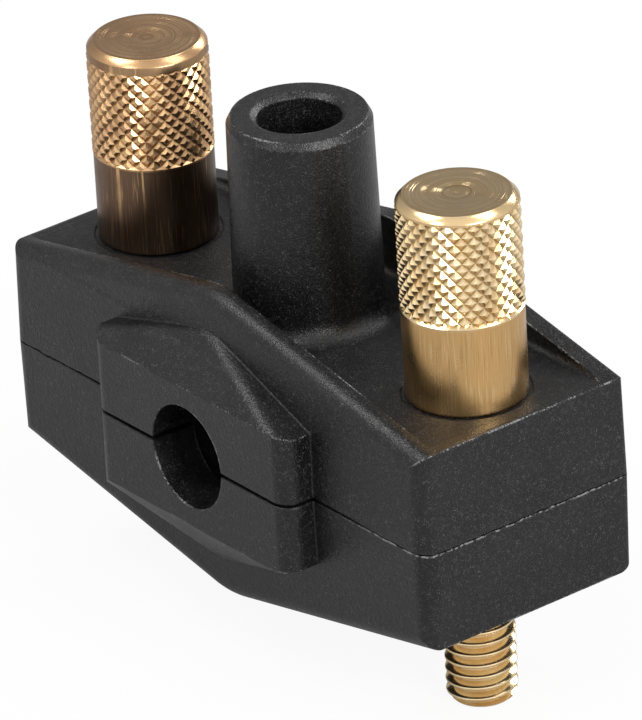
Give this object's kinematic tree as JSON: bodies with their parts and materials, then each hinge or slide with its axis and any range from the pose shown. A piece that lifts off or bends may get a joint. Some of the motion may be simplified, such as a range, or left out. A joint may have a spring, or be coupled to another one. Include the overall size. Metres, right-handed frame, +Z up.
{
  "type": "split tube clamp block",
  "caption": "Two-part moulded clamp block that closes round a small tube, with a port tube on top and knurled brass thumbscrews that draw the halves together.",
  "frame": {"origin": "middle of the tube bore, on the plane where the halves meet", "axes": "+X along the line of the two screws, +Y along the tube bore, +Z up the port tube"},
  "size_m": [0.0544, 0.0268, 0.0454],
  "materials": {
    "moulded_plastic": "fine spark texture",
    "brass": "turned, with a rolled knurl"
  },
  "bodies": {
    "lower_clamp": {"lower_half": "moulded_plastic", "left_threaded_insert": "brass", "right_threaded_insert": "brass"},
    "upper_clamp": {"upper_half": "moulded_plastic"},
    "left_screw": {"left_thumbscrew": "brass"},
    "right_screw": {"right_thumbscrew": "brass"}
  },
  "joints": [
    {"name": "clamp_opening", "type": "slide", "parent": "lower_clamp", "child": "upper_clamp", "axis": [0, 0, 1], "range_m": [0, 0.01]},
    {"name": "left_screw_turn", "type": "hinge", "parent": "upper_clamp", "child": "left_screw", "pos_m": [-0.0202, 0, 0.026], "axis": [0, 0, 1], "range_deg": [0, 3600]},
    {"name": "right_screw_turn", "type": "hinge", "parent": "upper_clamp", "child": "right_screw", "pos_m": [0.0202, 0, 0.026], "axis": [0, 0, 1], "range_deg": [0, 3600]}
  ],
  "couplings": [
    {"joint": "left_screw_turn", "follows": "clamp_opening", "rad_per_m": 6283.2},
    {"joint": "right_screw_turn", "follows": "clamp_opening", "rad_per_m": 6283.2}
  ]
}
